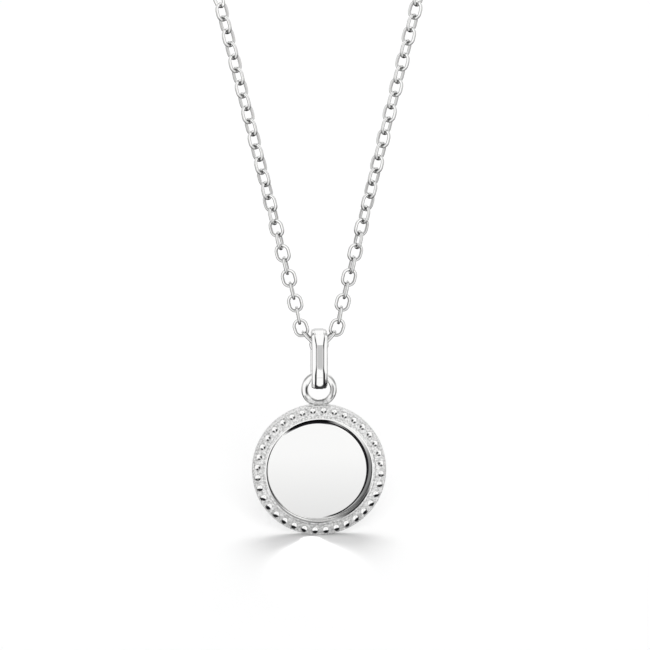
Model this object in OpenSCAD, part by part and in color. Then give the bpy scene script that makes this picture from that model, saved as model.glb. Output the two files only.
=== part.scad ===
/* [Chain] */
// Thickness of the link wire
wire_d = 0.38; // [0.3:0.02:0.4]
// Outside width of a link
link_w = 1.97; // [1.9:0.01:2.1]
// Distance from one link to the next
link_pitch = 1.68; // [1.6:0.01:1.8]
// Free play between two hooked links
link_gap = 0.12; // [0.12:0.01:0.2]
// Links on each side of the middle link
links_each_side = 118; // [60:1:122]
// Lean of the hanging strands from the vertical
strand_lean = 13.6; // [8:0.1:20]
// Link number where the strands begin to twist
twist_start = 3; // [2:1:20]
// Number of links that the twist takes
twist_links = 14; // [4:1:30]
// Turn that the strands reach by the twist
twist_turn = 50; // [0:1:90]

/* [Clasp] */
// Outside diameter of the clasp ring
clasp_d = 5; // [4:0.1:7]
// Thickness of the clasp ring
clasp_wire = 1; // [0.7:0.05:1.3]
// Outside diameter of the end eyes
eye_d = 2; // [1.9:0.05:2.4]
// Wire thickness of the end eyes
eye_wire = 0.45; // [0.3:0.05:0.5]

/* [Bail] */
// Width of the bail from side to side
bail_w = 2.05; // [1.8:0.05:2.2]
// Width of the flat strip along its outside
strip_w = 0.9; // [0.6:0.05:1.2]
// Width of the inside face
bail_inner_w = 1.6; // [1.2:0.05:1.8]
// Radius of the rounded inside ends
bail_inner_r = 1.2; // [1.2:0.02:1.4]
// Thickness of the metal at the strip
bail_t = 0.88; // [0.7:0.02:1.1]
// Length of the straight front and back
bail_leg = 3.77; // [3.3:0.01:4.5]
// Height of the upright sides above the inside face
bail_side = 0.6; // [0.4:0.02:0.64]

/* [Disc frame] */
// Outside diameter of the disc
disc_d = 17.3; // [15:0.1:20]
// Diameter of the opening for the plate
opening_d = 13.7; // [13.5:0.02:13.8]
// Distance from the back to the outer edge of the front
rim_t = 1.35; // [1.1:0.05:1.8]
// Thickness of the closed back
back_t = 0.45; // [0.4:0.05:0.6]
// Number of beads round the rim
bead_count = 36; // [24:1:38]
// Diameter of a bead
bead_d = 0.84; // [0.7:0.02:1]
// Radius of the circle that the beads sit on
bead_circle_r = 8; // [7.9:0.01:8]
// Turn of the first bead from the top
bead_turn = 4; // [0:1:10]
// Outside diameter of the top ring
ring_d = 4.62; // [4.4:0.02:4.8]
// Wire thickness of the top ring
ring_wire = 0.9; // [0.7:0.02:0.94]
// Height of the ring's centre above the disc's
ring_rise = 10.72; // [10.6:0.01:10.8]

/* [Face plate] */
// Diameter of the plate
plate_d = 13; // [12.4:0.02:13]
// Thickness of the plate
plate_t = 0.45; // [0.3:0.05:0.6]
// Width of the bevel round the plate
plate_bevel = 0.06; // [0.06:0.02:0.3]
// Gap between the plate and its seat
plate_gap = 0.1; // [0.05:0.01:0.15]
// Sideways offset of the plate in its seat
plate_shift = -0.2; // [-0.2:0.01:0.2]

/* [Hidden] */
$fn = 48;
silver = [0.86, 0.86, 0.87];
frosted = [0.8, 0.8, 0.81];

// Link: two half rings of wire joined by short straight sides.
link_l = link_pitch + 2 * wire_d + link_gap;
bend_r = (link_w - wire_d) / 2;
side_half = (link_l - link_w) / 2;
hook_half = (link_l - wire_d) / 2;
// How far a hooked wire sits from the centre of the bend that it hangs in
seat_r = bend_r - wire_d - link_gap;

// The first links leave the middle one steeply and then fall in with the strand.
// columns: lean of the link from the vertical, lean of the pull where it hooks on
first_links = [
    [44, 66],
    [18, 30],
    [11, 13]
];
first_count = len(first_links);

// The clasp, from its middle outwards.
clasp_mid_r = (clasp_d - clasp_wire) / 2;
eye_mid_r = (eye_d - eye_wire) / 2;
eye_x = clasp_mid_r + clasp_wire / 2 + eye_mid_r - eye_wire / 4;
last_x = eye_x + eye_mid_r - (eye_wire + wire_d) / 2 - link_gap + hook_half;

function along(lean) = [sin(lean), cos(lean)];

// Centres of the first links: a link that lies across hangs in the bend of one that lies flat.
function step_out(from, lean_from, pull, lean) =
    from + side_half * along(lean_from) + seat_r * along(pull) + hook_half * along(lean);
function step_in(from, lean_from, pull, lean) =
    from + hook_half * along(lean_from) + seat_r * along(pull) + side_half * along(lean);
p1 = step_out([0, 0], 90, first_links[0][1], first_links[0][0]);
p2 = step_in(p1, first_links[0][0], first_links[1][1], first_links[1][0]);
p3 = step_out(p2, first_links[1][0], first_links[2][1], first_links[2][0]);

// The rest runs straight and then round an arc that closes level at the clasp.
run_start = p3 + link_pitch / 2 * along(first_links[2][0]);
run_length = (links_each_side - first_count) * link_pitch;
arc_turn = (strand_lean + 90) * PI / 180;
arc_r = (run_start[0] - last_x + link_pitch / 2 + run_length * sin(strand_lean))
    / (arc_turn * sin(strand_lean) + cos(strand_lean));
straight_run = run_length - arc_r * arc_turn;

function lean_at(run) = run < straight_run
    ? strand_lean
    : strand_lean - (run - straight_run) / arc_r * 180 / PI;
function lean_of(i) = i <= first_count
    ? first_links[i - 1][0]
    : lean_at((i - first_count - 0.5) * link_pitch);
function rest_of(n) = [for (
    i = first_count, at = p3;
    i <= n;
    i = i + 1, at = i <= n ? at + link_pitch / 2 * (along(lean_of(i - 1)) + along(lean_of(i))) : at
) at];
link_at = concat([p1, p2], rest_of(links_each_side));
loop_top = link_at[links_each_side - 1][1];
last_shift = link_at[links_each_side - 1][0] - last_x;

// Links lie across and flat by turns, and the whole strand twists.
function ease(t) = t <= 0 ? 0 : t >= 1 ? 1 : t * t * (3 - 2 * t);
function roll_of(i) = 90 * (i % 2) + twist_turn * ease((i - twist_start) / twist_links);

// Heights below the nape.
middle_z = -loop_top;
bail_outer_r = bail_inner_r + bail_t;
// The ring's wire hangs a little below the centre of the bail's lower bend.
ring_drop = 0.25;
ring_mid_r = (ring_d - ring_wire) / 2;
swing_z = middle_z - bail_leg - ring_drop;
ring_z = swing_z - ring_mid_r;
disc_z = ring_z - ring_rise;

// Depths of the disc, measured forwards from the plane of the ring.
disc_back = -0.6;
rim_front = disc_back + rim_t;
floor_depth = disc_back + back_t;
channel_depth = rim_front - 0.12;
lip_depth = rim_front + 0.08;
disc_r = disc_d / 2;
opening_r = opening_d / 2;
edge_round = 0.2;
border_w = 0.22;
border_slope = 0.08;
lip_w = 0.34;
lip_edge = 0.08;
web_t = 0.6;

module bent_wire(mid_r, wire) {
    rotate([90, 0, 0])
        rotate_extrude(angle = 180)
            translate([mid_r, 0])
                circle(d = wire);
}

module wire_ring(mid_r, wire) {
    rotate([90, 0, 0])
        rotate_extrude()
            translate([mid_r, 0])
                circle(d = wire);
}

module link() {
    translate([0, 0, side_half])
        bent_wire(bend_r, wire_d);
    mirror([0, 0, 1])
        translate([0, 0, side_half])
            bent_wire(bend_r, wire_d);
    for (side = [-1, 1])
        translate([side * bend_r, 0, -side_half])
            cylinder(h = 2 * side_half, d = wire_d);
}

module strand(side) {
    for (i = [1:links_each_side])
        translate([side * link_at[i - 1][0], 0, middle_z + link_at[i - 1][1]])
            rotate([0, side * lean_of(i), 0])
                rotate([0, 0, side * roll_of(i)])
                    link();
}

module chain_left() {
    color(silver) {
        strand(-1);
        translate([0, 0, middle_z])
            rotate([0, 90, 0])
                link();
    }
}

module chain_right() {
    color(silver)
        strand(1);
}

module clasp() {
    // Both last links lean the same way, so both eyes stand square to them.
    eye_roll = 90 - roll_of(links_each_side);
    color(silver) {
        wire_ring(clasp_mid_r, clasp_wire);
        for (side = [-1, 1])
            translate([side * (eye_x + last_shift), 0, 0])
                rotate([eye_roll, 0, 0])
                    wire_ring(eye_mid_r, eye_wire);
    }
}

// Section of the bail: distance from the bend's centre, distance to the side.
bail_half = [
    [bail_inner_r, bail_inner_w / 2],
    [bail_inner_r + 0.22, bail_w / 2],
    [bail_inner_r + bail_side, bail_w / 2],
    [bail_outer_r, strip_w / 2]
];
bail_section = concat(bail_half, [for (i = [3:-1:0]) [bail_half[i][0], -bail_half[i][1]]]);

module bail_bend() {
    rotate([0, 90, 0])
        rotate([0, 0, 90])
            rotate_extrude(angle = 180)
                polygon(bail_section);
}

module bail() {
    color(silver)
        translate([0, 0, middle_z]) {
            bail_bend();
            translate([0, 0, -bail_leg])
                mirror([0, 0, 1])
                    bail_bend();
            for (turn = [0, 180])
                translate([0, 0, -bail_leg])
                    rotate([0, 0, turn])
                        linear_extrude(bail_leg)
                            polygon([for (p = bail_section) [p[1], -p[0]]]);
        }
}

// Section of the rim and the closed back: radius, depth.
rim_section = [
    [0, disc_back],
    [disc_r - edge_round, disc_back],
    [disc_r, disc_back + edge_round],
    [disc_r, rim_front - edge_round / 2],
    [disc_r - edge_round / 2, rim_front],
    [disc_r - border_w + border_slope, rim_front],
    [disc_r - border_w, channel_depth],
    [opening_r + lip_w + 0.1, channel_depth],
    [opening_r + lip_w, lip_depth],
    [opening_r + lip_edge, lip_depth],
    [opening_r, lip_depth - lip_edge],
    [opening_r, floor_depth],
    [0, floor_depth]
];

module disc_frame() {
    color(frosted) {
        translate([0, 0, disc_z])
            rotate([90, 0, 0]) {
                rotate_extrude()
                    polygon(rim_section);
                for (i = [0:bead_count - 1])
                    rotate([0, 0, -bead_turn - i * 360 / bead_count])
                        translate([0, bead_circle_r, channel_depth])
                            sphere(d = bead_d);
                // Solder that fills the corner between the ring and the rim
                translate([0, 0, -web_t / 2])
                    linear_extrude(web_t)
                        polygon([
                            [-1.6, disc_r - 0.5],
                            [1.6, disc_r - 0.5],
                            [0.9, disc_r + 0.42],
                            [-0.9, disc_r + 0.42]
                        ]);
            }
        translate([0, 0, ring_z])
            wire_ring(ring_mid_r, ring_wire);
    }
}

plate_r = plate_d / 2;
plate_back = floor_depth + plate_gap;

module face_plate() {
    color(silver)
        translate([plate_shift, 0, disc_z])
            rotate([90, 0, 0])
                rotate_extrude()
                    polygon([
                        [0, plate_back],
                        [plate_r, plate_back],
                        [plate_r, plate_back + plate_t - plate_bevel],
                        [plate_r - plate_bevel, plate_back + plate_t],
                        [0, plate_back + plate_t]
                    ]);
}

clasp();
chain_left();
chain_right();
bail();
disc_frame();
face_plate();
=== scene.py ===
import bpy
import numpy as np
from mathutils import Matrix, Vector


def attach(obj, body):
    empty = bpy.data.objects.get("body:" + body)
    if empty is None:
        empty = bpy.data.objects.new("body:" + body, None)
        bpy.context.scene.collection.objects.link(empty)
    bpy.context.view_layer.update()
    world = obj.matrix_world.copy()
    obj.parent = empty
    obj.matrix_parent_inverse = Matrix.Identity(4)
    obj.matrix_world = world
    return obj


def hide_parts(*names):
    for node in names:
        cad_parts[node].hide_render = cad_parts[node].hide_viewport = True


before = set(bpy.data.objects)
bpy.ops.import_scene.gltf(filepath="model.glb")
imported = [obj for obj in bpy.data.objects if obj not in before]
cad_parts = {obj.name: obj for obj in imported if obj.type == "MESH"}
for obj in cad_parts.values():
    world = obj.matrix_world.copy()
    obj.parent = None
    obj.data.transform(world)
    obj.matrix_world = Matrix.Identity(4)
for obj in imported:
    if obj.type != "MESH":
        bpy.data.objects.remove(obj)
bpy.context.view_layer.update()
mm = 0.001  # all sizes below are in millimetres
print("frame loaded")


# curves that shapes and darkness are made from

def fade(value, start, end):
    # 3t^2 - 2t^3, where t runs from 0 at the start to 1 at the end and is held there
    t = np.clip((value - start) / (end - start), 0, 1)
    return t * t * (3 - 2 * t)


def plateau(value, start, full, last, end):
    # rises from the start to full, is 1 as far as last, and falls to the end
    return fade(value, start, full) * fade(value, end, last)


def bump(value, centre, width):
    # 1 within a third of the width from the centre, fading to 0 at the width
    return fade(np.abs(value - centre), width, width / 3)


def bumpAt(degrees, centre, width):
    # the same on a full turn, with the distance taken the short way round
    return bump((degrees - centre + 180) % 360, 180, width)


def fullTurn(steps):
    # even steps round one turn, in radians
    return np.linspace(0, 2 * np.pi, steps, endpoint=False)


def degreesRound(steps):
    # the same steps in degrees
    return np.arange(steps) * 360 / steps


def fromOutside(degrees):
    # angle round a wire as 0 on its outer side to 180 on its inner side, both ways round
    return np.abs((degrees + 180) % 360 - 180)


# mesh helpers

def gridFaces(rows, cols, wrapCols=True):
    # a grid whose rows close on themselves, and its columns too unless told; each cell joins a corner to
    # its neighbours in the next row and column
    i, j = np.indices((rows, cols if wrapCols else cols - 1)).reshape(2, -1)
    iNext, jNext = (i + 1) % rows, (j + 1) % cols
    corners = [i * cols + j, iNext * cols + j, iNext * cols + jNext, i * cols + jNext]
    return np.stack(corners, axis=1)


def capped(grid, first, last):
    # a grid with its first and last column each closed by a fan of triangles to a middle point, each
    # written as a quad that names one corner twice
    rows, cols = grid.shape[:2]
    i = np.arange(rows)
    iNext = (i + 1) % rows
    firstAt = np.full(rows, rows * cols)
    lastAt = firstAt + 1
    fanFirst = np.stack([i * cols, firstAt, iNext * cols, iNext * cols], axis=1)
    fanLast = np.stack([(i + 1) * cols - 1, (iNext + 1) * cols - 1, lastAt, lastAt], axis=1)
    points = np.concatenate([grid.reshape(-1, 3), [first, last]])
    return points, np.concatenate([gridFaces(rows, cols, False), fanFirst, fanLast])


def joined(parts):
    # several point and quad sets put into one, each set's numbers moved past those before it
    points, quads, start = [], [], 0
    for p, q in parts:
        p = p.reshape(-1, 3)
        points.append(p)
        quads.append(q + start)
        start += len(p)
    return np.concatenate(points), np.concatenate(quads)


def repeated(cells, count, size):
    # the same faces for every one of several copies, each with its own points
    starts = (np.arange(count) * size)[:, None, None]
    return (cells[None] + starts).reshape(-1, 4)


def volumeOf(points, quads):
    # six times the signed volume: the triple product of each triangle's corners, added up
    total = 0.0
    for a, b, c in ((0, 1, 2), (0, 2, 3)):
        p, q, r = points[quads[:, a]], points[quads[:, b]], points[quads[:, c]]
        total += np.einsum("ij,ij->i", p, np.cross(q, r)).sum()
    return total


def makePiece(name, body, node, finish, slot, points, quads, shade=None, polish=None):
    # a mesh from millimetre points and quads, wound outwards; a quad that names a corner twice is a
    # triangle; shade gives point by point the painted shade and painted dark reflections, and polish how
    # polished the metal is
    points = points.reshape(-1, 3)
    if volumeOf(points, quads) < 0:
        quads = quads[:, ::-1]
    double = (quads[:, 0] == quads[:, 1]) | (quads[:, 2] == quads[:, 3])
    triangles = [list(dict.fromkeys(corners)) for corners in quads[double].tolist()]
    mesh = bpy.data.meshes.new(name)
    mesh.from_pydata((points * mm).tolist(), [], quads[~double].tolist() + triangles)
    mesh.shade_smooth()
    for mark, values in (("shade", shade), ("polish", polish)):
        if values is not None:
            layer = mesh.attributes.new(mark, "FLOAT", "POINT")
            layer.data.foreach_set("value", values.astype(float).ravel())
    piece = bpy.data.objects.new(name, mesh)
    bpy.context.scene.collection.objects.link(piece)
    mesh.materials.append(finish)
    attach(piece, body)
    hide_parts(node)


def softProfile(rows, steps):
    # rows of across, along and rounding, as a closed line; each corner becomes a parabola that starts
    # its rounding before the corner and ends it after, with a point beyond each end to keep flats flat
    mostOfSide, beyond = 0.38, 1.28
    table = np.asarray(rows, float)
    at, rounding = table[:, :2], table[:, 2:3]
    back, ahead = np.roll(at, 1, 0) - at, np.roll(at, -1, 0) - at
    backLength = np.linalg.norm(back, axis=1, keepdims=True)
    aheadLength = np.linalg.norm(ahead, axis=1, keepdims=True)
    start = back / backLength * np.minimum(rounding, backLength * mostOfSide)
    end = ahead / aheadLength * np.minimum(rounding, aheadLength * mostOfSide)
    t = np.linspace(0, 1, steps)[None, :, None]
    curve = at[:, None] + (1 - t) ** 2 * start[:, None] + t ** 2 * end[:, None]
    corners = [(at + start * beyond)[:, None], curve, (at + end * beyond)[:, None]]
    return np.concatenate(corners, axis=1).reshape(-1, 2)


def openProfile(rows, steps):
    # the same for an open line, whose two ends stay sharp and whose rows also name a mark
    table = np.asarray(rows, float)
    marks = table[:, 3].astype(int)
    inside = slice(steps + 2, -(steps + 2))
    points = softProfile(table[:, :3], steps)[inside]
    points = np.concatenate([table[:1, :2], points, table[-1:, :2]])
    return points, np.concatenate([marks[:1], np.repeat(marks, steps + 2)[inside], marks[-1:]])


def spunSolid(profile, marks, dark, centre):
    # radius and depth, from the middle of the back round to the middle of the front, turned about the
    # disc's axis: x = r sin a, y = minus the depth, z = r cos a; dark has a row for each mark, a value
    # for each step
    a = fullTurn(dark.shape[1])[:, None]
    r, depth = profile[None, :, 0], profile[None, :, 1]
    grid = np.stack([r * np.sin(a), 0 * a - depth, r * np.cos(a)], axis=-1) + centre
    ends = [np.array([0, -level, 0]) + centre for level in profile[[0, -1], 1]]
    points, quads = capped(grid, *ends)
    return points, quads, np.append(dark[marks].T, [0, 0])


def wireRing(radius, wire, aroundSteps, wireSteps):
    # ring of round wire in the XZ plane: distance from the middle is radius + half the wire times cos b
    a, b = fullTurn(aroundSteps)[:, None], fullTurn(wireSteps)[None]
    r = radius + wire / 2 * np.cos(b)
    return np.stack([r * np.sin(a), wire / 2 * np.sin(b) + 0 * a, r * np.cos(a)], axis=-1)


# finishes

finishSettings = {
    # dark is the colour that painted shade and painted reflections turn the silver towards
    "dark": (0.012, 0.012, 0.014), "bright": (0.93, 0.93, 0.925),
    # polished: size of the glossier and duller spots, and how much they differ in roughness
    "glossSpot": 0.35, "glossChange": 0.05,
    # where polished turns matt: height, roughness, size of clouds, and how dark and light they are
    "mattOver": 0.7, "mattRough": 0.35, "mattCloud": 0.3, "mattDark": 1.45, "mattLight": 2.0,
    # frosted: sizes of clouds and pits, how dark and light clouds are, roughness where smooth, where
    # frosted and by cloud, and the relief's depth with each one's share
    "cloud": 0.24, "pit": 0.1, "cloudDark": 1.06, "cloudLight": 1.9, "smoothRough": 0.06,
    "frostRough": 0.22, "frostChange": 0.25, "pitDepth": 0.02, "pitShare": 0.7, "cloudShare": 0.6,
}


class Flow:
    # wraps a shader socket, so that sums on values write their own Math nodes
    def __init__(self, tree, socket):
        self.tree, self.socket = tree, socket

    def node(self, kind, settings, given, output=0):
        # any node: its settings first, a ramp's stops among them, then its sockets' values or links
        made = self.tree.nodes.new(kind)
        for key, value in settings.items():
            if key == "stops":
                ramp = made.color_ramp.elements
                for place, (at, level) in enumerate(value):
                    stop = ramp[place] if place < 2 else ramp.new(at)
                    stop.position, stop.color = at, (level, level, level, 1)
            else:
                setattr(made, key, value)
        for key, value in given.items():
            if isinstance(value, Flow):
                self.tree.links.new(value.socket, made.inputs[key])
            else:
                made.inputs[key].default_value = value
        return Flow(self.tree, made.outputs[output])

    def feed(self, shader, name):
        # links this value to a shader's input
        self.tree.links.new(self.socket, shader.inputs[name])

    def math(self, operation, first, second):
        return self.node("ShaderNodeMath", {"operation": operation}, {0: first, 1: second})

    def __add__(self, other):
        return self.math("ADD", self, other)

    def __radd__(self, other):
        return self.math("ADD", other, self)

    def __sub__(self, other):
        return self.math("SUBTRACT", self, other)

    def __rsub__(self, other):
        return self.math("SUBTRACT", other, self)

    def __mul__(self, other):
        return self.math("MULTIPLY", self, other)

    def __rmul__(self, other):
        return self.math("MULTIPLY", other, self)


def newFinish(name):
    # a material, its shader and a flow of Object coordinates
    material = bpy.data.materials.new(name)
    material.use_nodes = True
    tree = material.node_tree
    place = Flow(tree, tree.nodes.new("ShaderNodeTexCoord").outputs["Object"])
    return material, tree.nodes["Principled BSDF"], place


def grain(place, size, detail=3.0):
    # noise whose blotches are about this many millimetres wide
    given = {"Vector": place, "Scale": 1 / (size * mm), "Detail": detail}
    return place.node("ShaderNodeTexNoise", {}, given)


def markOf(place, name):
    # a mesh attribute as a value, the node's output 2
    return place.node("ShaderNodeAttribute", {"attribute_name": name}, {}, 2)


def heightOf(place):
    # the Z of a position or direction, the node's output 2
    return place.node("ShaderNodeSeparateXYZ", {}, {0: place}, 2)


def mapRange(value, fromLow, fromHigh, toLow=0.0, toHigh=1.0, curve="LINEAR"):
    # the value moved from one range to another and held at its ends
    given = {"Value": value, "From Min": fromLow, "From Max": fromHigh}
    given.update({"To Min": toLow, "To Max": toHigh})
    return value.node("ShaderNodeMapRange", {"interpolation_type": curve}, given)


def silverShader(shader, shadeAndTone, rough, depth, relief):
    # metal from dark to bright silver by the painted shade and reflections and by the clouds' tone, the
    # Mix node's colours being inputs 6 and 7 and output 2, with its roughness and a relief this many
    # millimetres deep
    colours = {0: shadeAndTone, 6: (*finishSettings["dark"], 1), 7: (*finishSettings["bright"], 1)}
    shadeAndTone.node("ShaderNodeMix", {"data_type": "RGBA"}, colours, 2).feed(shader, "Base Color")
    rough.feed(shader, "Roughness")
    given = {"Strength": 1.0, "Distance": depth * mm, "Height": relief}
    relief.node("ShaderNodeBump", {}, given).feed(shader, "Normal")
    shader.inputs["Metallic"].default_value = 1.0


def polishedSilver(name, rough, wave, waveSize, mattBelow=None):
    # mirror silver: small differences in gloss, a soft hand-polished wave, and painted shade and painted
    # dark reflections where shade is set; below the height mattBelow it turns matt and cloudy
    s = finishSettings
    material, shader, place = newFinish(name)
    shadeAndTone = 1 - markOf(place, "shade")
    gloss = grain(place, s["glossSpot"]) * s["glossChange"] + rough
    if mattBelow is not None:
        matt = mapRange(heightOf(place), mattBelow * mm, (mattBelow - s["mattOver"]) * mm)
        gloss = gloss + matt * s["mattRough"]
        cloud = grain(place, s["mattCloud"], 4.0)
        shadeAndTone = shadeAndTone * (1 - matt * (s["mattDark"] - cloud * s["mattLight"]))
    silverShader(shader, shadeAndTone, gloss, wave, grain(place, waveSize, 1.0))
    return material


def frostedSilver(name):
    # frosted silver: fine pits, and cloudy patches in colour and gloss; both go where polish is set.
    # Where shade is set it carries painted shade and painted dark reflections
    s = finishSettings
    material, shader, place = newFinish(name)
    shadeAndTone, frost = 1 - markOf(place, "shade"), 1 - markOf(place, "polish")
    cloud, pits = grain(place, s["cloud"], 5.0), grain(place, s["pit"], 2.0)
    shadeAndTone = shadeAndTone * (1 - frost * (s["cloudDark"] - cloud * s["cloudLight"]))
    rough = frost * (cloud * s["frostChange"] + s["frostRough"]) + s["smoothRough"]
    relief = frost * (pits * s["pitShare"] + cloud * s["cloudShare"])
    silverShader(shader, shadeAndTone, rough, s["pitDepth"], relief)
    return material


# roughness, depth of the hand-polished wave and its size
mirrorSilver = polishedSilver("mirror_silver", 0.02, 0.0006, 2.5)
wireSilver = polishedSilver("wire_silver", 0.08, 0.004, 0.5)
bailSilver = polishedSilver("bail_silver", 0.01, 0.0008, 0.8)
beadSilver = polishedSilver("bead_silver", 0.04, 0.004, 0.4)
frostSilver = frostedSilver("frosted_silver")
print("finishes made")


# chain

chainSettings = {
    # the drawn wire and its play in a hook, then the solids' wire and the gap that their hooks keep
    "wire": 0.4, "play": 0.01, "solidWire": 0.38, "gap": 0.12,
    "width": 1.97, "pitch": 1.68, "eachSide": 118,
    # lean of the straight run, of the first three links, and of the pull where they hook
    "lean": 13.6, "firstLeans": (44.0, 18.0, 11.0), "pullLeans": (66.0, 30.0, 13.0),
    "twistOver": (3, 17), "twistTurn": 50,
    # steps round each bend and round the wire, for the links seen close and for the rest
    "nearLinks": 28, "nearSteps": (14, 12), "farSteps": (5, 6),
    # painted reflections and shade: darkness with its centre and width round the wire, in the bends also
    # round the link
    "innerLine": 0.66, "innerAt": (132, 36), "outerLine": 0.5, "outerAt": (34, 26),
    "hookDark": 0.62, "hookAt": (90, 70), "hookInside": (80, 120),
    "cornerDark": 0.6, "cornerAt": (30, 55), "corners": ((235, 50), (305, 50)),
    # share of the painted darkness for the middle link, and how much of it is lost over which links
    "middleDark": 0.35, "darkLost": 0.32, "lostOver": (5, 21),
}
claspSettings = {
    "ring": 5.0, "wire": 1.0, "ringSteps": (64, 20),
    "eye": 2.0, "eyeWire": 0.45, "eyeSteps": (40, 12),
}


def along(lean):
    # unit vector that leans from +Z towards +X
    return np.stack([np.sin(np.radians(lean)), np.cos(np.radians(lean))], axis=-1)


def layChain(s, k):
    # centres, leans and rolls of one strand's links, by the same rule as the solids: three links with
    # given leans, then a straight run, then an arc that ends level at the clasp
    sideHalf = (s["pitch"] + 2 * s["solidWire"] + s["gap"] - s["width"]) / 2
    hookHalf = (s["pitch"] + s["solidWire"] + s["gap"]) / 2
    seat = (s["width"] - s["solidWire"]) / 2 - s["solidWire"] - s["gap"]
    first, pull = np.array(s["firstLeans"]), s["pullLeans"]
    p1 = sideHalf * along(90) + seat * along(pull[0]) + hookHalf * along(first[0])
    p2 = p1 + hookHalf * along(first[0]) + seat * along(pull[1]) + sideHalf * along(first[1])
    p3 = p2 + sideHalf * along(first[1]) + seat * along(pull[2]) + hookHalf * along(first[2])
    claspMid, eyeMid = (k["ring"] - k["wire"]) / 2, (k["eye"] - k["eyeWire"]) / 2
    eyeX = claspMid + k["wire"] / 2 + eyeMid - k["eyeWire"] / 4
    lastX = eyeX + eyeMid - (k["eyeWire"] + s["solidWire"]) / 2 - s["gap"] + hookHalf
    runStart = p3 + s["pitch"] / 2 * along(first[2])
    runLength = (s["eachSide"] - 3) * s["pitch"]
    sine, cosine = along(s["lean"])
    turn = np.radians(s["lean"] + 90)
    # from where the run starts and where the last link has to lie
    arcRadius = (runStart[0] - lastX + s["pitch"] / 2 + runLength * sine) / (turn * sine + cosine)
    straight = runLength - arcRadius * turn
    run = (np.arange(4, s["eachSide"] + 1) - 3.5) * s["pitch"]
    leans = s["lean"] - np.degrees(np.maximum(run - straight, 0) / arcRadius)
    ways = along(np.append(first[2], leans))
    rest = p3 + np.cumsum(s["pitch"] / 2 * (ways[:-1] + ways[1:]), axis=0)
    centres = np.concatenate([[p1, p2, p3], rest])
    number = np.arange(1, s["eachSide"] + 1)
    rolls = 90 * (number % 2) + s["twistTurn"] * fade(number, *s["twistOver"])
    return centres, np.concatenate([first, leans]), rolls, eyeX + centres[-1, 0] - lastX


linkCentres, linkLeans, linkRolls, eyeX = layChain(chainSettings, claspSettings)
middleZ = -linkCentres[-1, 1]  # height of the middle link below the nape


def linkShape(s, bendSteps, wireSteps):
    # one link: round wire carried round two half circles (R cos a, R sin a +- half) joined by short
    # sides; the wire is drawn larger by half of the share that its flat facets cut off
    bend = (s["width"] - s["wire"]) / 2
    half = (s["pitch"] + 2 * s["wire"] + s["play"] - s["width"]) / 2
    t = np.linspace(0, np.pi, bendSteps + 1)
    a = np.concatenate([t, t + np.pi])[:, None]
    shift = np.repeat([half, -half], bendSteps + 1)[:, None]
    b = fullTurn(wireSteps)[None]
    wire = s["wire"] / 2 * (1 + 0.5 * (1 - np.cos(np.pi / wireSteps)))
    r = bend + wire * np.cos(b)
    return np.stack([r * np.cos(a), wire * np.sin(b) + 0 * a, r * np.sin(a) + shift], axis=-1)


def linkPaintedShade(s, bendSteps, wireSteps):
    # painted reflections and shade by the angle a round the link and b round its wire: a dark line on
    # the wire's inner half, one near its outer edge, painted shade inside both bends where links hook,
    # and painted dark reflections on the lower bend's corners
    t = np.linspace(0, 180, bendSteps + 1)
    a = np.concatenate([t, t + 180])[:, None]
    b = fromOutside(degreesRound(wireSteps))[None]
    line = s["innerLine"] * bump(b, *s["innerAt"]) + s["outerLine"] * bump(b, *s["outerAt"])
    hook = s["hookDark"] * bump(a % 180, *s["hookAt"]) * fade(b, *s["hookInside"])
    corner = s["cornerDark"] * bump(b, *s["cornerAt"]) * sum(bump(a, *at) for at in s["corners"])
    return np.clip(np.maximum(line + 0 * a, hook) + corner, 0, 1).ravel()


def strand(s, side, centres, leans, rolls, steps):
    # every link at once: roll about its length, lean in the loop's plane, then move to its centre
    shape = linkShape(s, *steps)
    cells = gridFaces(*shape.shape[:2])
    shape = shape.reshape(-1, 3)
    roll, lean = np.radians(side * rolls), np.radians(side * leans)
    cr, sr, cl, sl = np.cos(roll), np.sin(roll), np.cos(lean), np.sin(lean)
    nought, one = 0 * cr, 0 * cr + 1
    rollMatrix = np.array([[cr, -sr, nought], [sr, cr, nought], [nought, nought, one]])
    leanMatrix = np.array([[cl, nought, sl], [nought, one, nought], [-sl, nought, cl]])
    points = np.einsum("ijn,jkn,pk->npi", leanMatrix, rollMatrix, shape)
    points += np.stack([side * centres[:, 0], nought, middleZ + centres[:, 1]], axis=-1)[:, None]
    return points, repeated(cells, len(centres), len(shape))


def strandPaintedShade(s, count, first):
    # the near links' painted shade and reflections, the first one's by its own share and less towards
    # the nape, then none
    shares = 1 - s["darkLost"] * fade(np.arange(s["nearLinks"]), *s["lostOver"])
    shares[0] = first
    near = np.outer(shares, linkPaintedShade(s, *s["nearSteps"]))
    bendSteps, wireSteps = s["farSteps"]
    return np.append(near, np.zeros((count - s["nearLinks"]) * 2 * (bendSteps + 1) * wireSteps))


def makeStrand(s, name, node, side, centres, leans, rolls, firstDark):
    # links near the pendant are seen close and get more facets than the rest
    near, far = slice(0, s["nearLinks"]), slice(s["nearLinks"], None)
    points, quads = joined([
        strand(s, side, centres[part], leans[part], rolls[part], steps)
        for part, steps in ((near, s["nearSteps"]), (far, s["farSteps"]))])
    shade = strandPaintedShade(s, len(centres), firstDark)
    makePiece(name, "necklace", node, wireSilver, "polished_silver", points, quads, shade)


makeStrand(chainSettings, "chain_links_right", "chain_right", 1, linkCentres, linkLeans, linkRolls, 1.0)
# the left strand also holds the middle link, which lies across and carries the bail
makeStrand(chainSettings, "chain_links_left", "chain_left", -1,
           np.concatenate([[[0.0, 0.0]], linkCentres]), np.append(-90, linkLeans),
           np.append(0, linkRolls), chainSettings["middleDark"])
print("chain laid:", 2 * chainSettings["eachSide"] + 1, "links")


# clasp

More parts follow.
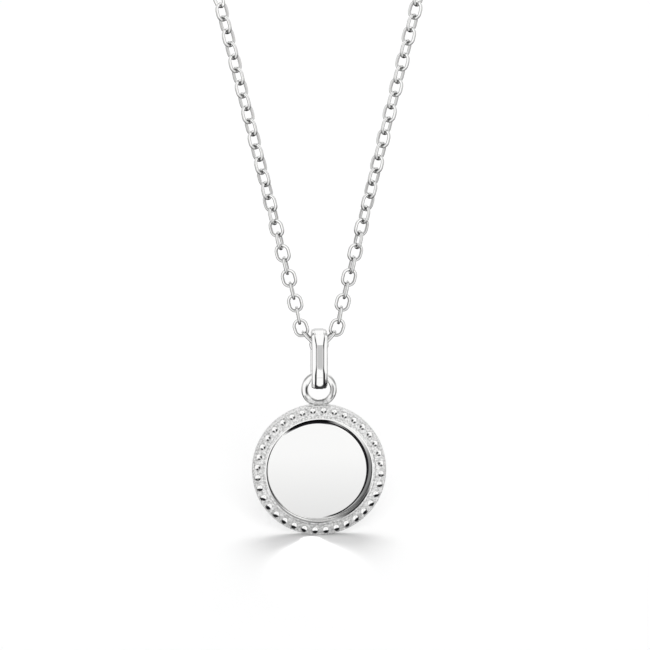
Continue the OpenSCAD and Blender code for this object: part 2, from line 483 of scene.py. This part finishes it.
def claspParts(k):
    # a plain ring with an eye on each side, turned about X by the angle that squares it to the last link
    ring = wireRing((k["ring"] - k["wire"]) / 2, k["wire"], *k["ringSteps"])
    eye = wireRing((k["eye"] - k["eyeWire"]) / 2, k["eyeWire"], *k["eyeSteps"])
    turn = np.radians(90 - linkRolls[-1])
    c, s = np.cos(turn), np.sin(turn)
    eye = eye @ np.array([[1, 0, 0], [0, c, -s], [0, s, c]]).T
    parts = [ring] + [eye + [side * eyeX, 0, 0] for side in (-1, 1)]
    return joined([(part, gridFaces(*part.shape[:2])) for part in parts])


makePiece("clasp_ring", "necklace", "clasp", wireSilver, "polished_silver", *claspParts(claspSettings))
print("clasp made")


# bail

bailSettings = {
    "width": 2.05, "inner": 1.9, "innerRadius": 1.2, "thick": 0.88, "leg": 3.77, "side": 0.66,
    "grooveDepth": 0.07, "bendSteps": 48, "legSteps": 24, "roundSteps": 5,
    # strip width, left groove and right groove in the middle, over the top and round the bottom
    "middle": (0.78, 0.13, 0.17), "top": (1.08, 0.15, 0.16), "bottom": (0.84, 0.22, 0.36),
    # heights, of points this far out, over which the section turns into that of the top and bottom, and
    # the grooves' painted shade too
    "heightOut": 2.0, "topOver": (0.2, 1.5), "bottomOver": (-2.5, -3.7),
    "darkTopOver": (-0.3, 0.4), "darkBottomOver": (-2.1, -3.0),
    # the grooves' painted shade, a dark line: its greatest width, where its edge fades, and how dark it
    # is;
    # the one over the top ends between two heights
    "paintWidth": 0.24, "paintEdge": (1.2, 0.8), "darkMiddle": 0.6, "darkBottom": 1.0,
    "darkTop": 0.92, "darkTopEnd": (1.8, 1.0),
    # the strip's lower end painted black as a dark reflection, by tilt in degrees, reach to the left and
    # right, and distance out
    "endOver": (39, 45), "endRound": 10, "endStop": (80, 70), "endReach": (1.55, 1.85), "endOut": 2.0,
    # the painted dark reflection as a blob on its right bevel, and the faint painted arc at the top
    "blobOver": (24, 30, 54, 62), "blobAcross": (0.6, 0.86), "blobOut": 1.9,
    "arcDark": 0.25, "arcOver": (-68, -78),
}


def bailPath(s):
    # closed loop seen from the side: half circle, straight back, half circle, straight front;
    # gives for each step the height of the bend's centre and the outward direction
    t = np.linspace(0, np.pi, s["bendSteps"])
    top = np.stack([-np.cos(t), np.sin(t)], axis=1)
    leg = fade(np.linspace(0, 1, s["legSteps"] + 2)[1:-1], 0, 1)
    centre = -s["leg"] * np.concatenate([0 * t, leg, 0 * t + 1, 1 - leg])
    backOut, frontOut = np.tile([1.0, 0.0], (len(leg), 1)), np.tile([-1.0, 0.0], (len(leg), 1))
    return centre, np.concatenate([top, backOut, -top, frontOut])


def bailSide(s, strip, groove):
    # one side's corners from the inside face to the strip: across, distance out, rounding
    outer, edge, half = s["innerRadius"] + s["thick"], strip / 2, s["width"] / 2
    return [
        (s["inner"] / 2, s["innerRadius"], 0.10),
        (half, s["innerRadius"] + 0.22, 0.10),
        (half, s["innerRadius"] + s["side"], 0.18),
        (edge + groove, outer - 0.05, 0.04),
        (edge + groove / 2, outer - s["grooveDepth"], 0.04),
        (edge, outer, 0.04),
    ]


def bailSections(s):
    # the whole section in the middle, over the top and round the bottom, and the painted shade in its
    # grooves there: off is the distance from a groove's middle line, 1 at its edges
    sections, darks = [], []
    for strip, left, right in (s["middle"], s["top"], s["bottom"]):
        corners = [(-x, r, rounding) for x, r, rounding in bailSide(s, strip, left)]
        corners += [(0, s["innerRadius"] + s["thick"], 0.2)] + bailSide(s, strip, right)[::-1]
        section = softProfile(corners, s["roundSteps"])
        x = section[:, 0]
        groove = np.minimum(np.where(x < 0, left, right), s["paintWidth"])
        off = np.abs(np.abs(x) - strip / 2 - groove / 2) / (groove / 2)
        sections.append(section)
        darks.append(fade(off, *s["paintEdge"]))
    return np.array(sections), np.array(darks)


def sharesOf(height, top, bottom):
    # how much each height takes from the middle, the top and the bottom
    rise, fall = fade(height, *top), fade(height, *bottom)
    return np.array([1 - rise - fall, rise, fall])


def endPaintedReflection(s, tilt, x, r):
    # painted dark reflections: the strip's lower end is painted black below a rounded edge, with a blob
    # on the right bevel, and the top has a faint painted arc; tilt is how far in degrees the outside has
    # turned downwards
    across = np.abs(x) / (s["bottom"][0] / 2)
    end = fade(tilt + s["endRound"] * across ** 2, *s["endOver"]) * fade(tilt, *s["endStop"])
    end = end * (r > s["endOut"]) * (across < np.where(x < 0, *s["endReach"]))
    blobFrom, blobTo = s["blobAcross"]
    blob = plateau(tilt, *s["blobOver"]) * (x > blobFrom) * (x < blobTo) * (r > s["blobOut"])
    return np.maximum(np.maximum(end, blob) * s["darkBottom"], s["arcDark"] * fade(tilt, *s["arcOver"]))


def bailGrid(s):
    # the section at every step of the path, its strip and grooves changing over both bends: a point lies
    # x across and r from the bend's centre in the outward direction
    centre, out = bailPath(s)
    height = centre + s["heightOut"] * out[:, 1]
    sections, darks = bailSections(s)
    section = np.einsum("ks,kpc->spc", sharesOf(height, s["topOver"], s["bottomOver"]), sections)
    shares = sharesOf(height, s["darkTopOver"], s["darkBottomOver"])
    shares[0] *= s["darkMiddle"]
    shares[1] *= s["darkTop"] * fade(height, *s["darkTopEnd"])
    shares[2] *= s["darkBottom"]
    x, r = section[..., 0], section[..., 1]
    tilt = np.degrees(np.arcsin(-out[:, 1:]))
    # painted shade in the grooves, and painted reflections at the strip's ends
    shade = np.maximum(np.einsum("ks,kp->sp", shares, darks), endPaintedReflection(s, tilt, x, r))
    points = np.stack([x, out[:, :1] * r, middleZ + centre[:, None] + out[:, 1:] * r], axis=-1)
    return points, gridFaces(*points.shape[:2]), shade


makePiece("bail_loop", "bail", "bail", bailSilver, "polished_silver", *bailGrid(bailSettings))
print("bail made")


# disc

discSettings = {
    "radius": 8.65, "opening": 6.85, "back": -0.6, "front": 0.75, "floor": -0.15, "channel": 0.63,
    "lip": 0.83, "lipWidth": 0.34, "border": 0.22, "hub": 0.4, "turns": 288, "roundSteps": 6,
    # the frosted metal's darkness at the sides, painted shade that makes left and right differ and the
    # bottom darker, and the painted line inside the border
    "darkSides": 0.08, "sideChange": 0.4, "darkBottom": 0.34, "bottomOver": (75, 15), "borderLine": 0.12,
    # painted shadow and reflections in the seat: where the darkness rises and falls in degrees from the
    # top, or its centre and width
    "topOver": (-45, -31, 6, 26), "edgeOver": (-44, -32, 162, 176), "topEdgeOver": (-38, -24, 6, 24),
    "rightDark": 0.65, "rightOver": (50, 80, 158, 172), "rightLost": (162, 112),
    "leftDark": 0.85, "leftAt": (264, 52), "edgeShare": 0.1,
    "wallDark": 0.97, "wallAt": (140, 34), "lipDark": 0.7, "lipAt": (202, 62), "lipLineAt": (132, 34),
    "polishedOver": 0.15,  # how far beyond the opening the metal is polished
}
ringSettings = {  # rise: from the disc's middle to the ring's; drop: play in the bail
    "outside": 4.62, "wire": 0.9, "rise": 10.72, "drop": 0.25, "steps": (96, 28), "mattFrom": 1.1,
}
ringMid = (ringSettings["outside"] - ringSettings["wire"]) / 2
swingZ = middleZ - bailSettings["leg"] - ringSettings["drop"]
ringZ = swingZ - ringMid
discZ = ringZ - ringSettings["rise"]

# the rows of seatPaintedShade, which hold painted shade and reflections: the rim's metal, the seat's
# floor and wall, the lip's edge, the line inside the border, the plate's edge with the floor under it,
# the plate's face next to its edge, the disc's back, and the plain rest of the plate
rimRow, floorRow, wallRow, lipRow, borderRow, edgeRow, topEdgeRow, backRow, plainRow = range(9)


def seatPaintedShade(s, turns):
    # painted shade and reflections by the angle from the top, clockwise, in those rows: the seat painted
    # black at the top and grey on the right, and the rim's metal darker on the left and towards the
    # bottom
    degrees = degreesRound(turns)
    signed = (degrees + 180) % 360 - 180
    right = s["rightDark"] * plateau(degrees, *s["rightOver"]) * fade(degrees, *s["rightLost"])
    left = s["leftDark"] * bumpAt(degrees, *s["leftAt"])
    edge, topEdge = plateau(signed, *s["edgeOver"]), plateau(signed, *s["topEdgeOver"])
    floor = np.clip(plateau(signed, *s["topOver"]) + s["edgeShare"] * edge + right + left, 0, 1)
    wall = np.maximum(floor, s["wallDark"] * bumpAt(degrees, *s["wallAt"]))
    lip = s["lipDark"] * bumpAt(degrees, *s["lipAt"]) + bumpAt(degrees, *s["lipLineAt"])
    sides = s["darkSides"] * (1 - s["sideChange"] * np.sin(np.radians(degrees)))
    rim = sides + (s["darkBottom"] - sides) * fade(np.abs(degrees - 180), *s["bottomOver"])
    back, plain = s["darkSides"] + 0 * edge, 0 * edge
    return np.stack([rim, floor, wall, lip, rim + s["borderLine"], edge, topEdge, back, plain])


def rimProfile(s):
    # section from the back's middle round the rim to the middle of the seat: radius, depth, rounding,
    # and the row of seatPaintedShade that paints its shade
    outer, border, floor = s["radius"], s["radius"] - s["border"], s["floor"]
    inner, lip = s["opening"], s["opening"] + s["lipWidth"]
    return openProfile([
        (s["hub"], s["back"], 0.01, backRow), (outer, s["back"], 0.2, backRow),
        (outer, s["front"] - 0.08, 0.2, rimRow), (outer - 0.1, s["front"], 0.08, rimRow),
        (border + 0.08, s["front"], 0.08, rimRow), (border - 0.06, s["channel"], 0.12, borderRow),
        (lip + 0.16, s["channel"], 0.12, rimRow), (lip + 0.02, s["lip"] - 0.02, 0.1, rimRow),
        (inner + 0.17, s["lip"], 0.01, rimRow), (inner + 0.13, s["lip"], 0.02, lipRow),
        (inner, s["lip"] - 0.06, 0.01, lipRow), (inner, s["lip"] - 0.12, 0.01, wallRow),
        (inner, floor + 0.25, 0.01, wallRow), (inner, floor + 0.2, 0.01, floorRow),
        (inner, floor + 0.06, 0.02, floorRow), (inner - 0.03, floor, 0.02, floorRow),
        (inner - 0.38, floor, 0.01, floorRow), (inner - 0.42, floor, 0.01, edgeRow),
        (s["hub"], floor, 0.01, edgeRow),
    ], s["roundSteps"])


rimPoints, rimQuads, rimPaintedShade = spunSolid(
    *rimProfile(discSettings), seatPaintedShade(discSettings, discSettings["turns"]), (0, 0, discZ))
polishedReach = discSettings["opening"] + discSettings["polishedOver"]
seatPolish = np.hypot(rimPoints[:, 0], rimPoints[:, 2] - discZ) < polishedReach
makePiece("disc_rim", "pendant", "disc_frame", frostSilver, "frosted_silver",
          rimPoints, rimQuads, rimPaintedShade, seatPolish)
print("rim made")


# beads

beadSettings = {
    "count": 36, "circle": 8.0, "size": 0.84, "flat": 0.55, "raise": 0.06, "turn": 4.0,
    "aroundSteps": 30, "riseSteps": 18, "sway": 14, "seed": 5,
    # the lower beads' painted dark reflection, a crescent: how far it bends and where it fades in; the
    # upper beads' painted arc: distance from the middle and width, where it fades in, how dark its
    # middle is and where its ends begin
    "darkBelow": 1.0, "bend": 0.35, "crescentOver": (-0.12, 0.08),
    "darkAbove": 1.0, "arcAt": (0.55, 0.46), "arcOver": (-0.2, 0.1),
    "arcMiddle": 0.4, "arcEnds": (0.12, 0.3),
    # how far the painted marks face outwards and inwards, how much more downwards away from the disc's
    # sides, and how fast the arc turns into the crescent
    "outwards": 2.0, "inwards": 0.5, "downwards": 0.5, "steep": 1.4,
}


def beadShape(s):
    # flattened ball closed at its back and front: across = sin b (cos a, sin a), depth = flat cos b
    b = ((np.arange(s["riseSteps"]) + 0.5) / s["riseSteps"] * np.pi)[None]
    a = fullTurn(s["aroundSteps"])[:, None]
    half, depth = s["size"] / 2, s["flat"] * s["size"] / 2
    x, y, z = np.sin(b) * np.cos(a), 0 * a - s["flat"] * np.cos(b), np.sin(b) * np.sin(a)
    return capped(np.stack([x, y, z], axis=-1) * half, [0, -depth, 0], [0, depth, 0])


def beadPaintedReflections(s, ball, turn):
    # painted reflections: on the lower half a black crescent faces down and outwards; on the upper half
    # a dark arc lies on the side towards the disc's middle, lighter between its ends; way is where each
    # mark faces
    low, sideways = -np.cos(turn)[:, None], np.sin(turn)[:, None]
    sway = np.random.default_rng(s["seed"]).uniform(-s["sway"], s["sway"], s["count"])[:, None]
    toSide = (s["outwards"] * low - s["inwards"] * (1 - np.abs(low))) * sideways
    way = np.arctan2(-1 - s["downwards"] * low ** 2, toSide) + np.radians(sway)
    across, rise = (ball[None, :, [0, 2]] / (s["size"] / 2)).transpose(2, 0, 1)
    facing = across * np.cos(way) + rise * np.sin(way)
    beside = rise * np.cos(way) - across * np.sin(way)
    crescent = s["darkBelow"] * fade(facing - s["bend"] * beside ** 2, *s["crescentOver"])
    arc = bump(np.hypot(facing, beside), *s["arcAt"]) * fade(facing, *s["arcOver"])
    ends = s["arcMiddle"] + (1 - s["arcMiddle"]) * fade(np.abs(beside), *s["arcEnds"])
    arc = s["darkAbove"] * arc * ends
    return arc + (crescent - arc) * fade(s["steep"] * low, -0.5, 0.5)


def beadField(s):
    # a bead at every even step of a circle round the disc
    ball, cells = beadShape(s)
    turn = np.radians(s["turn"] + degreesRound(s["count"]))
    depth = 0 * turn - discSettings["channel"] - s["raise"]
    at = np.stack([s["circle"] * np.sin(turn), depth, discZ + s["circle"] * np.cos(turn)], axis=-1)
    return at[:, None] + ball, repeated(cells, s["count"], len(ball)), beadPaintedReflections(s, ball, turn)


makePiece("rim_beads", "pendant", "disc_frame", beadSilver, "polished_silver", *beadField(beadSettings))
print("beads set:", beadSettings["count"])


# top ring and its solder

# painted reflections and shade on the ring, as dark lines and spots
ringPaintedMarks = [  # darkness, centre and width round the ring, centre and width round its wire
    (1.0, 268, 34, 118, 26), (0.75, 92, 34, 98, 22), (0.45, 92, 34, 130, 20),
    (0.7, 238, 15, 70, 26), (0.7, 122, 15, 80, 26), (0.25, 180, 75, 130, 30),
    (0.7, 320, 26, 34, 26), (0.56, 52, 30, 48, 24)]
solderSettings = {"reach": 1.3, "thickMiddle": 0.6, "thickEnd": 0.1, "fill": 0.3, "overlap": 0.02,
                  "steps": 28, "aroundSteps": 24}


def ringPaintedShade(steps, wireSteps):
    # painted reflections and shade by the angle from the ring's top, clockwise, and the angle round its
    # wire
    degrees, b = degreesRound(steps)[:, None], fromOutside(degreesRound(wireSteps))[None]
    dark = sum(level * bumpAt(degrees, at, wide) * bump(b, wireAt, wireWide)
               for level, at, wide, wireAt, wireWide in ringPaintedMarks)
    return np.clip(dark, 0, 1)


def solderFillet(s, outer, rim):
    # upright slices from side to side, each an oval (thick cos b, half sin b) that fills the gap between
    # the ring's outside and the rim
    x = np.linspace(-s["reach"], s["reach"], s["steps"])[None]
    b = fullTurn(s["aroundSteps"])[:, None]
    ringLow, rimHigh = ringZ - np.sqrt(outer ** 2 - x ** 2), discZ + np.sqrt(rim ** 2 - x ** 2)
    near = 1 - (x / s["reach"]) ** 2
    half = (ringLow - rimHigh) / 2 + s["fill"] * np.sqrt(np.maximum(near, 0)) + s["overlap"]
    thick = s["thickEnd"] + (s["thickMiddle"] - s["thickEnd"]) * near
    z = (ringLow + rimHigh) / 2 + np.maximum(half, s["overlap"]) * np.sin(b)
    grid = np.stack([x + 0 * b, thick * np.cos(b), z], axis=-1)
    return capped(grid, grid[:, 0].mean(0), grid[:, -1].mean(0))


ringSilver = polishedSilver("ring_silver", 0.03, 0.003, 0.8, ringZ - ringSettings["mattFrom"])
ringPoints = wireRing(ringMid, ringSettings["wire"], *ringSettings["steps"]) + [0, 0, ringZ]
makePiece("top_ring", "pendant", "disc_frame", ringSilver, "polished_silver", ringPoints,
          gridFaces(*ringSettings["steps"]), ringPaintedShade(*ringSettings["steps"]))
makePiece("solder", "pendant", "disc_frame", frostSilver, "frosted_silver",
          *solderFillet(solderSettings, ringSettings["outside"] / 2, discSettings["radius"]))
print("ring and solder made")


# plate

# line and topEdge: how far in from the edge the plate's painted shade reaches
plateSettings = {"radius": 6.5, "thick": 0.45, "bevel": 0.03, "gap": 0.1, "shift": -0.2, "line": 0.19,
                 "topEdge": (0.02, 0.09, 0.11), "hub": 0.4, "turns": 240, "roundSteps": 4}


def plateProfile(s):
    # flat back, upright edge, bevel and flat face, with the rows of seatPaintedShade; inside the painted
    # dark line at the edge lies the painted shade that only shows at the top
    low = discSettings["floor"] + s["gap"]
    high, outer, line = low + s["thick"], s["radius"], s["radius"] - s["line"]
    start, end, plain = [line - step for step in s["topEdge"]]
    return openProfile([
        (s["hub"], low, 0.01, plainRow), (outer, low, 0.05, plainRow),
        (outer, high - s["bevel"], 0.03, edgeRow), (outer - s["bevel"], high, 0.01, edgeRow),
        (line, high, 0.01, edgeRow), (start, high, 0.01, topEdgeRow), (end, high, 0.01, topEdgeRow),
        (plain, high, 0.01, plainRow), (s["hub"], high, 0.01, plainRow),
    ], s["roundSteps"])


makePiece("mirror_plate", "pendant", "face_plate", mirrorSilver, "polished_silver", *spunSolid(
    *plateProfile(plateSettings), seatPaintedShade(discSettings, plateSettings["turns"]),
    (plateSettings["shift"], 0, discZ)))
print("plate made")


# studio

studioSettings = {
    "azimuth": -3.5, "elevation": 13.5, "lens": 200.0, "sensor": 36.0, "widthShown": 83.3,
    "right": 0.77, "up": 2.49, "floorBelow": 0.05, "floorShade": 0.95, "floorReach": (3000, 6000),
    # the tent: the floor's plain share, brightness, and stops from behind to the camera's side
    "tentOnFloor": 0.42, "white": 1.06,
    "tentStops": [(0.0, 0.7), (0.1, 0.7), (0.16, 0.0), (0.645, 0.0), (0.7, 1.0), (1.0, 1.0)],
    # by a direction's height: no gap overhead, a later gap towards the floor, a grey gap at the sides
    "overhead": (0.3, 0.65), "below": (-0.2, -1.0, 0.0, 0.8), "gapDelay": 0.44,
    "gapLevel": (-0.1, -0.6, 0.6, 0.0),
}
lampSettings = [  # side, back, height, spread in degrees, strength
    ("back_lamp", 0.08, 0.5, 0.86, 42, 1.15), ("top_lamp", 0.0, 0.1, 1.0, 60, 0.5),
    ("front_lamp", 0.0, -0.9, 0.44, 30, 1.3)]
glowSettings = {
    "tilt": 40, "toSide": -1.15, "before": 1.0,
    "lamps": [  # width, height, spread in degrees, power, foot
        ("plate_glow", 9.0, 11.0, 40, 0.00022, 2.0), ("foot_glow", 5.0, 13.0, 46, 0.00022, -0.3)],
}
# left and right, depth, lower left and right, top, level, and two heights with the levels there; the
# plate mirrors the first card and the bail's strip the second
cardSettings = [
    ("plate_card", (-10, 34), -200, (-268, -268), -233, 1.0, (-258.2, -246.0, 0.85, 1.03)),
    ("bail_card", (-2, 7), -40, (-186.8, -189.7), -169.5, 0.6, None)]


def cameraPlace(s):
    # where a camera that far round and that high stands, and its backward direction; it aims at the
    # middle link, moved to the right and up
    a, e = np.radians(s["azimuth"]), np.radians(s["elevation"])
    back = np.array([np.sin(a) * np.cos(e), -np.cos(a) * np.cos(e), np.sin(e)])
    right = np.array([np.cos(a), np.sin(a), 0.0])
    aim = np.array([0, 0, middleZ]) + s["right"] * right + s["up"] * np.cross(back, right)
    return aim + s["widthShown"] / s["sensor"] * s["lens"] * back, back


eye, back = cameraPlace(studioSettings)
cameraData = bpy.data.cameras.new("camera")
cameraData.lens, cameraData.sensor_width = studioSettings["lens"], studioSettings["sensor"]
cameraData.clip_start, cameraData.clip_end = 0.01, 50.0  # metres
camera = bpy.data.objects.new("camera", cameraData)
camera.location = Vector(eye * mm)
camera.rotation_mode = "QUATERNION"
camera.rotation_quaternion = Vector(-back).to_track_quat("-Z", "Y")
bpy.context.scene.collection.objects.link(camera)
bpy.context.scene.camera = camera


def stagedFace(name, corners, given):
    # one flat face that isn't part of the object, with the given values on its shader
    mesh = bpy.data.meshes.new(name)
    mesh.from_pydata((np.array(corners) * mm).tolist(), [], [(0, 1, 2, 3)])
    thing = bpy.data.objects.new(name, mesh)
    material, shader, place = newFinish(name)
    for key, value in {"Specular IOR Level": 0.0, **given}.items():
        shader.inputs[key].default_value = value
    mesh.materials.append(material)
    bpy.context.scene.collection.objects.link(thing)
    return thing, shader, place


def layFloor(z, shade, reach, far):
    # a very wide matt white floor that metal does not mirror, reaching further at the back
    corners = [(-reach, -reach, z), (reach, -reach, z), (reach, far, z), (-reach, far, z)]
    floor = stagedFace("floor", corners, {"Base Color": (shade, shade, shade, 1), "Roughness": 0.9})[0]
    floor.visible_glossy = False


def card(name, sides, y, lows, high, level, fading):
    # a glowing card that only shows where metal mirrors it; its lower edge may slant, and its light may
    # change between two heights
    corners = [(sides[0], y, lows[0]), (sides[1], y, lows[1]), (sides[1], y, high), (sides[0], y, high)]
    colours = {"Base Color": (0, 0, 0, 1), "Emission Color": (level, level, level, 1)}
    thing, shader, place = stagedFace(name, corners, {**colours, "Emission Strength": 1.0})
    if fading:
        fromLow, fromHigh, toLow, toHigh = fading
        glow = mapRange(heightOf(place), fromLow * mm, fromHigh * mm, toLow, toHigh)
        glow.feed(shader, "Emission Color")
    thing.visible_camera = thing.visible_diffuse = thing.visible_shadow = False


def addLamp(name, data, direction):
    # a lamp that shines in the given direction; it lights the floor, and metal mirrors only the tent
    lamp = bpy.data.objects.new(name, data)
    lamp.rotation_mode = "QUATERNION"
    lamp.rotation_quaternion = Vector(direction).to_track_quat("-Z", "Y")
    lamp.visible_glossy = False
    bpy.context.scene.collection.objects.link(lamp)
    return lamp


def farLamp(name, toSide, toBack, high, spread, power):
    # wide and far, from the given direction
    data = bpy.data.lights.new(name, "SUN")
    data.angle, data.energy = np.radians(spread), power
    addLamp(name, data, (-toSide, -toBack, -high))


def glowLamp(s, name, wide, tall, spread, power, foot):
    # light that the polished plate throws forwards and down on the floor, so that the back lamp's shadow
    # is left as two soft wings: an oval face that leans by the tilt, with its foot before the disc and
    # this far above the disc's lowest point
    tilt = np.radians(s["tilt"])
    data = bpy.data.lights.new(name, "AREA")
    data.shape, data.size, data.size_y = "ELLIPSE", wide * mm, tall * mm
    data.spread, data.energy = np.radians(spread), power
    lamp = addLamp(name, data, (0, -np.cos(tilt), -np.sin(tilt)))
    high = discZ - discSettings["radius"] + foot + np.cos(tilt) * tall / 2
    lamp.location = Vector((s["toSide"], -s["before"] - np.sin(tilt) * tall / 2, high)) * mm
    lamp.visible_camera = False


layFloor(discZ - discSettings["radius"] - studioSettings["floorBelow"], studioSettings["floorShade"],
         *studioSettings["floorReach"])
for lamp in lampSettings:
    farLamp(*lamp)
for lamp in glowSettings["lamps"]:
    glowLamp(glowSettings, *lamp)
for values in cardSettings:
    card(*values)


def makeTent(s, towardsCamera):
    # brightness by the cosine between a direction and the way to the camera: white in front, a dark gap
    # square to the view and grey behind. The gap starts later towards the floor and is black there, is
    # grey at the sides and gone overhead. The floor gets a plain even share instead, and what shows
    # behind the floor's far edge in a low view is plain white.
    world = bpy.data.worlds.new("tent")
    world.use_nodes = True
    tree = world.node_tree
    way = Flow(tree, tree.nodes.new("ShaderNodeTexCoord").outputs["Generated"])
    rays = tree.nodes.new("ShaderNodeLightPath").outputs
    mirrored, seen = Flow(tree, rays["Is Glossy Ray"]), Flow(tree, rays["Is Camera Ray"])
    given = {0: way, 1: towardsCamera}
    cosine = way.node("ShaderNodeVectorMath", {"operation": "DOT_PRODUCT"}, given, 1)
    height = heightOf(way)
    overhead = mapRange(height, *s["overhead"], curve="SMOOTHSTEP")
    below = mapRange(height, *s["below"])
    gapLevel = mapRange(height, *s["gapLevel"])
    position = cosine * 0.5 + 0.5 + below * s["gapDelay"]
    ring = way.node("ShaderNodeValToRGB", {"stops": s["tentStops"]}, {0: position})
    lit = ring + (1 - ring) * overhead
    level = lit * s["white"] + (1 - lit) * gapLevel
    background = tree.nodes["Background"]
    background.inputs["Color"].default_value = (1, 1, 1, 1)
    even = s["tentOnFloor"]
    (mirrored * (level - even) + seen * (1 - even) + even).feed(background, "Strength")
    return world


bpy.context.scene.world = makeTent(studioSettings, back)
bpy.context.scene.view_settings.view_transform = "Standard"
print("studio set")
